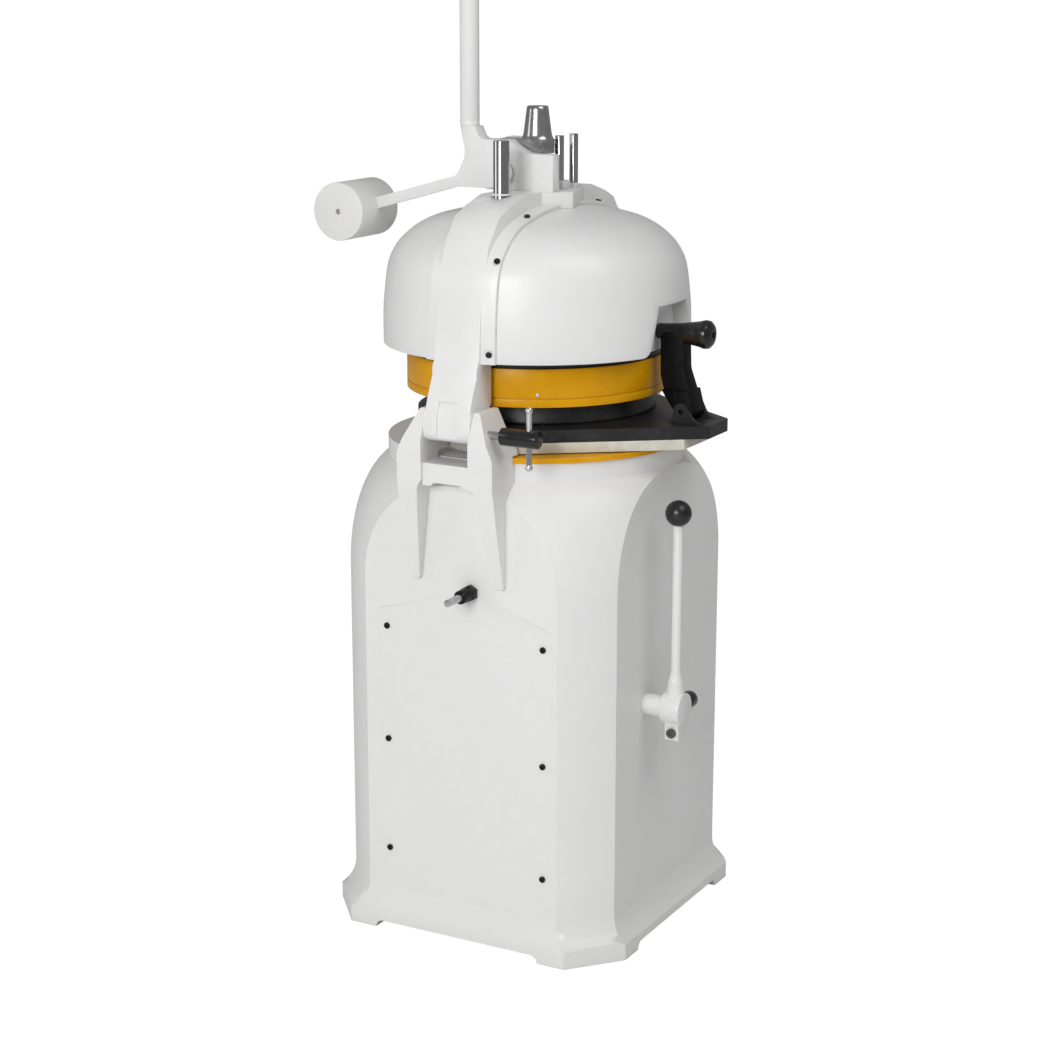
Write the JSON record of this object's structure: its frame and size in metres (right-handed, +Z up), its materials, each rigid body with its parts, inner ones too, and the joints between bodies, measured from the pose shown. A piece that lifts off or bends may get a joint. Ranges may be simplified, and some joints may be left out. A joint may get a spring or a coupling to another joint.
{
  "type": "bun divider rounder",
  "caption": "Floor-standing bakery divider rounder: cast pedestal, orbiting plate, tilting press head with knife grid, pull lever with counterweight, latch and rounding lever.",
  "frame": {"origin": "on the floor under the press axis", "axes": "+Z up along the press axis, -Y towards the operator, -X towards the head's hinge"},
  "size_m": [0.714, 0.746, 2.1],
  "materials": {
    "white_paint": "glossy white enamel",
    "yellow_paint": "glossy yellow",
    "black_paint": "satin black",
    "pad": "beige damping pad",
    "steel": "turned steel",
    "chrome": "hard chrome",
    "cast": "grey cast",
    "dark_steel": "dark grey",
    "black_plastic": "glossy black",
    "belt": "matt",
    "box_grey": "satin grey",
    "start_green": "glossy green",
    "stop_red": "glossy red",
    "bearing_steel": "ground steel",
    "pads_alu": "satin"
  },
  "bodies": {
    "pedestal": {"pedestal": "white_paint", "side_cover": "white_paint", "side_cover_screws": "steel", "base_ring": "yellow_paint", "base_pad": "pad", "base_plate": "black_paint", "base_plate_bolts": "black_paint", "hinge_bracket": "white_paint", "rest_bracket": "white_paint", "adjusting_nut": "dark_steel", "switch_box": "box_grey", "cable_gland": "black_plastic", "shaft_housing": "cast", "main_bearings": "bearing_steel", "drive_belt": "belt", "motor": "box_grey", "motor_plate": "cast", "lever_bearing": "white_paint"},
    "adjuster": {"adjusting_stud": "steel"},
    "start": {"start_button": "start_green"},
    "stop": {"stop_button": "stop_red"},
    "drive": {"drive_shaft": "steel", "drive_pulley": "cast"},
    "motor_rotor": {"motor_pulley": "steel"},
    "table": {"table_carrier": "cast", "rounding_plate": "black_paint"},
    "idler_1": {"idler_crank_1": "steel"},
    "idler_2": {"idler_crank_2": "steel"},
    "idler_3": {"idler_crank_3": "steel"},
    "round_lever": {"rounding_shaft": "steel", "rounding_lever": "white_paint", "ball_knob": "black_plastic", "clamp_screw": "dark_steel"},
    "plunger": {"plunger_knob": "black_plastic"},
    "clamp": {"hinge_pin": "steel", "clamp_knob": "black_plastic", "tommy_bar": "chrome"},
    "head": {"bridge": "white_paint", "front_hood": "white_paint", "rear_hood": "white_paint", "hood_screws": "steel", "dough_ring": "yellow_paint", "ring_plate": "black_paint", "head_frame": "cast", "bearing_plates": "white_paint", "rack_cover": "dark_steel", "guide_block": "white_paint", "guide_bushes": "white_paint"},
    "lever": {"lever_casting": "white_paint", "lever_tube": "white_paint", "lever_grip": "black_plastic", "counterweight": "white_paint", "lever_shaft": "steel", "pinion": "steel"},
    "knives": {"rack_spindle": "steel", "knife_grid": "steel", "guide_rods": "chrome"},
    "press": {"press_head": "pads_alu"},
    "latch": {"latch_column": "black_paint", "latch_grip": "black_plastic"}
  },
  "joints": [
    {"name": "head_tilt", "type": "hinge", "parent": "pedestal", "child": "head", "pos_m": [-0.303, 0, 0.935], "axis": [0, -1, 0], "range_deg": [0, 80]},
    {"name": "clamp_turn", "type": "hinge", "parent": "pedestal", "child": "clamp", "pos_m": [-0.303, 0, 0.935], "axis": [0, 1, 0], "range_deg": [0, 270]},
    {"name": "lever_pull", "type": "hinge", "parent": "head", "child": "lever", "pos_m": [0, 0.042, 1.345], "axis": [1, 0, 0], "range_deg": [0, 85]},
    {"name": "knife_feed", "type": "slide", "parent": "head", "child": "knives", "axis": [0, 0, -1], "range_m": [0, 0.0446]},
    {"name": "press_feed", "type": "slide", "parent": "head", "child": "press", "axis": [0, 0, -1], "range_m": [0, 0.0322]},
    {"name": "latch_swing", "type": "hinge", "parent": "pedestal", "child": "latch", "pos_m": [0, -0.3, 0.95], "axis": [1, 0, 0], "range_deg": [0, 50]},
    {"name": "round_lever_swing", "type": "hinge", "parent": "pedestal", "child": "round_lever", "pos_m": [-0.092, -0.328, 0.434], "axis": [0, 1, 0], "range_deg": [0, 45]},
    {"name": "plunger_pull", "type": "slide", "parent": "round_lever", "child": "plunger", "axis": [1, 0, 0], "range_m": [0, 0.008], "stiffness_N_per_m": 800, "springref_m": -0.002},
    {"name": "adjuster_turn", "type": "hinge", "parent": "pedestal", "child": "adjuster", "pos_m": [-0.34, -0.024, 0.65], "axis": [-1, 0, 0], "range_deg": [-180, 180]},
    {"name": "drive_spin", "type": "hinge", "parent": "pedestal", "child": "drive", "pos_m": [0, 0, 0.7], "axis": [0, 0, 1], "continuous": true},
    {"name": "motor_spin", "type": "hinge", "parent": "pedestal", "child": "motor_rotor", "pos_m": [0.112, 0.147, 0.62], "axis": [0, 0, 1], "continuous": true},
    {"name": "table_orbit", "type": "hinge", "parent": "drive", "child": "table", "pos_m": [0.014, 0, 0.92], "axis": [0, 0, 1], "continuous": true},
    {"name": "idler_1_spin", "type": "hinge", "parent": "pedestal", "child": "idler_1", "pos_m": [0.07361, 0.0425, 0.87], "axis": [0, 0, 1], "continuous": true},
    {"name": "idler_2_spin", "type": "hinge", "parent": "pedestal", "child": "idler_2", "pos_m": [-0.07361, 0.0425, 0.87], "axis": [0, 0, 1], "continuous": true},
    {"name": "idler_3_spin", "type": "hinge", "parent": "pedestal", "child": "idler_3", "pos_m": [0, -0.085, 0.87], "axis": [0, 0, 1], "continuous": true},
    {"name": "start_push", "type": "slide", "parent": "pedestal", "child": "start", "axis": [-1, 0, 0], "range_m": [0, 0.004], "stiffness_N_per_m": 500, "springref_m": -0.002},
    {"name": "stop_push", "type": "slide", "parent": "pedestal", "child": "stop", "axis": [-1, 0, 0], "range_m": [0, 0.004], "stiffness_N_per_m": 500, "springref_m": -0.002}
  ],
  "couplings": [
    {"joint": "knife_feed", "follows": "lever_pull", "m_per_rad": 0.03},
    {"joint": "press_feed", "follows": "lever_pull", "m_per_rad": 0.0216},
    {"joint": "motor_spin", "follows": "drive_spin", "ratio": 3.7143},
    {"joint": "table_orbit", "follows": "drive_spin", "ratio": -1},
    {"joint": "idler_1_spin", "follows": "drive_spin", "ratio": 1},
    {"joint": "idler_2_spin", "follows": "drive_spin", "ratio": 1},
    {"joint": "idler_3_spin", "follows": "drive_spin", "ratio": 1}
  ]
}
